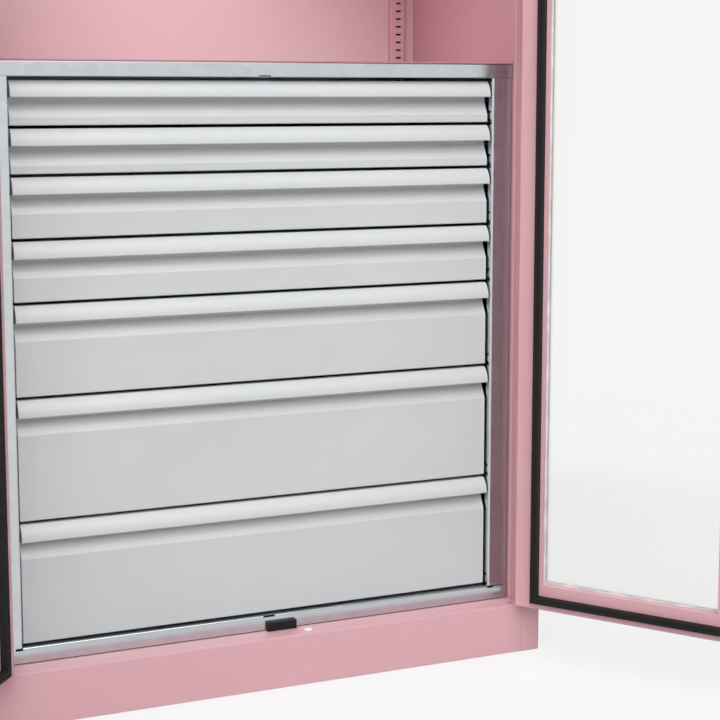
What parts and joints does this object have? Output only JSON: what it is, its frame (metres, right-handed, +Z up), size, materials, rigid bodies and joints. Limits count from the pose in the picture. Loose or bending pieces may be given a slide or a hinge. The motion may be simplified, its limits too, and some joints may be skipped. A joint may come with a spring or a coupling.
{
  "type": "two-door tool cabinet with drawer housing",
  "caption": "Tall steel tool cabinet with two hinged glazed doors, a sheet-metal housing of pull-out drawers below and adjustable shelves above.",
  "frame": {"origin": "on the floor, in the middle of the width, below the front plane of the drawer housing", "axes": "+Z up; +X to the right seen from the front; -Y towards the user, so drawers open along -Y"},
  "size_m": [1.4968, 0.8648, 1.95],
  "materials": {
    "carcass": "fine-textured semi-gloss powder coat",
    "drawer_paint": "light grey semi-gloss powder coat",
    "galvanised": "satin galvanised sheet",
    "steel": "zinc plated",
    "rubber": "matt black",
    "nylon": "white nylon",
    "black_plastic": "matt",
    "glass": "clear pane"
  },
  "bodies": {
    "cabinet": {"side_wall_right": "carcass", "side_wall_left": "carcass", "side_liner_right": "carcass", "side_liner_left": "carcass", "back_panel": "carcass", "base_panel": "carcass", "top_panel": "carcass", "upright_right": "carcass", "upright_left": "carcass", "shelf_lower": "carcass", "shelf_upper": "carcass", "shelf_arms": "carcass", "housing_cover": "carcass", "housing_side_right": "galvanised", "housing_side_left": "galvanised", "housing_top_rail": "galvanised", "housing_bottom_rail": "galvanised", "housing_rear_rails": "galvanised", "fixed_slides": "galvanised", "stop_pad": "rubber", "rod_keepers": "nylon", "hinge_knuckles_fixed": "carcass", "hinge_pins": "steel"},
    "drawer_1": {"drawer_1_front": "drawer_paint", "drawer_1_box": "galvanised"},
    "middle_slides_1": {"drawer_1_middle_slides": "galvanised"},
    "drawer_2": {"drawer_2_front": "drawer_paint", "drawer_2_box": "galvanised"},
    "middle_slides_2": {"drawer_2_middle_slides": "galvanised"},
    "drawer_3": {"drawer_3_front": "drawer_paint", "drawer_3_box": "galvanised"},
    "middle_slides_3": {"drawer_3_middle_slides": "galvanised"},
    "drawer_4": {"drawer_4_front": "drawer_paint", "drawer_4_box": "galvanised"},
    "middle_slides_4": {"drawer_4_middle_slides": "galvanised"},
    "drawer_5": {"drawer_5_front": "drawer_paint", "drawer_5_box": "galvanised"},
    "middle_slides_5": {"drawer_5_middle_slides": "galvanised"},
    "drawer_6": {"drawer_6_front": "drawer_paint", "drawer_6_box": "galvanised"},
    "middle_slides_6": {"drawer_6_middle_slides": "galvanised"},
    "drawer_7": {"drawer_7_front": "drawer_paint", "drawer_7_box": "galvanised"},
    "middle_slides_7": {"drawer_7_middle_slides": "galvanised"},
    "right_door": {"door_right_shell": "carcass", "door_right_pane": "glass", "door_right_gasket": "rubber", "door_right_seal": "rubber", "door_right_knuckles": "carcass", "meeting_strip": "carcass", "handle_rosette": "black_plastic"},
    "left_door": {"door_left_shell": "carcass", "door_left_pane": "glass", "door_left_gasket": "rubber", "door_left_seal": "rubber", "door_left_knuckles": "carcass"},
    "handle": {"turn_handle": "black_plastic", "lock_cam": "steel"},
    "lower_rod": {"locking_rod_lower": "steel"},
    "upper_rod": {"locking_rod_upper": "steel"}
  },
  "joints": [
    {"name": "drawer_1_slide", "type": "slide", "parent": "cabinet", "child": "drawer_1", "axis": [0, -1, 0], "range_m": [0, 0.37]},
    {"name": "middle_slides_1_slide", "type": "slide", "parent": "cabinet", "child": "middle_slides_1", "axis": [0, -1, 0], "range_m": [0, 0.185]},
    {"name": "drawer_2_slide", "type": "slide", "parent": "cabinet", "child": "drawer_2", "axis": [0, -1, 0], "range_m": [0, 0.37]},
    {"name": "middle_slides_2_slide", "type": "slide", "parent": "cabinet", "child": "middle_slides_2", "axis": [0, -1, 0], "range_m": [0, 0.185]},
    {"name": "drawer_3_slide", "type": "slide", "parent": "cabinet", "child": "drawer_3", "axis": [0, -1, 0], "range_m": [0, 0.37]},
    {"name": "middle_slides_3_slide", "type": "slide", "parent": "cabinet", "child": "middle_slides_3", "axis": [0, -1, 0], "range_m": [0, 0.185]},
    {"name": "drawer_4_slide", "type": "slide", "parent": "cabinet", "child": "drawer_4", "axis": [0, -1, 0], "range_m": [0, 0.37]},
    {"name": "middle_slides_4_slide", "type": "slide", "parent": "cabinet", "child": "middle_slides_4", "axis": [0, -1, 0], "range_m": [0, 0.185]},
    {"name": "drawer_5_slide", "type": "slide", "parent": "cabinet", "child": "drawer_5", "axis": [0, -1, 0], "range_m": [0, 0.37]},
    {"name": "middle_slides_5_slide", "type": "slide", "parent": "cabinet", "child": "middle_slides_5", "axis": [0, -1, 0], "range_m": [0, 0.185]},
    {"name": "drawer_6_slide", "type": "slide", "parent": "cabinet", "child": "drawer_6", "axis": [0, -1, 0], "range_m": [0, 0.37]},
    {"name": "middle_slides_6_slide", "type": "slide", "parent": "cabinet", "child": "middle_slides_6", "axis": [0, -1, 0], "range_m": [0, 0.185]},
    {"name": "drawer_7_slide", "type": "slide", "parent": "cabinet", "child": "drawer_7", "axis": [0, -1, 0], "range_m": [0, 0.37]},
    {"name": "middle_slides_7_slide", "type": "slide", "parent": "cabinet", "child": "middle_slides_7", "axis": [0, -1, 0], "range_m": [0, 0.185]},
    {"name": "right_door_hinge", "type": "hinge", "parent": "cabinet", "child": "right_door", "pos_m": [0.4615, -0.0415, 1], "axis": [0, 0, 1], "range_deg": [-127, 48]},
    {"name": "left_door_hinge", "type": "hinge", "parent": "cabinet", "child": "left_door", "pos_m": [-0.4615, -0.0415, 1], "axis": [0, 0, -1], "range_deg": [-127, 48]},
    {"name": "handle_turn", "type": "hinge", "parent": "right_door", "child": "handle", "pos_m": [0.70724, -0.36844, 1], "axis": [0.7986, 0.6018, 0], "range_deg": [-90, 0]},
    {"name": "lower_rod_slide", "type": "slide", "parent": "right_door", "child": "lower_rod", "axis": [0, 0, 1], "range_m": [-0.01697, 0]},
    {"name": "upper_rod_slide", "type": "slide", "parent": "right_door", "child": "upper_rod", "axis": [0, 0, -1], "range_m": [-0.01697, 0]}
  ],
  "couplings": [
    {"joint": "middle_slides_1_slide", "follows": "drawer_1_slide", "ratio": 0.5},
    {"joint": "middle_slides_2_slide", "follows": "drawer_2_slide", "ratio": 0.5},
    {"joint": "middle_slides_3_slide", "follows": "drawer_3_slide", "ratio": 0.5},
    {"joint": "middle_slides_4_slide", "follows": "drawer_4_slide", "ratio": 0.5},
    {"joint": "middle_slides_5_slide", "follows": "drawer_5_slide", "ratio": 0.5},
    {"joint": "middle_slides_6_slide", "follows": "drawer_6_slide", "ratio": 0.5},
    {"joint": "middle_slides_7_slide", "follows": "drawer_7_slide", "ratio": 0.5},
    {"joint": "lower_rod_slide", "follows": "handle_turn", "m_per_rad": 0.010804},
    {"joint": "upper_rod_slide", "follows": "handle_turn", "m_per_rad": 0.010804}
  ]
}
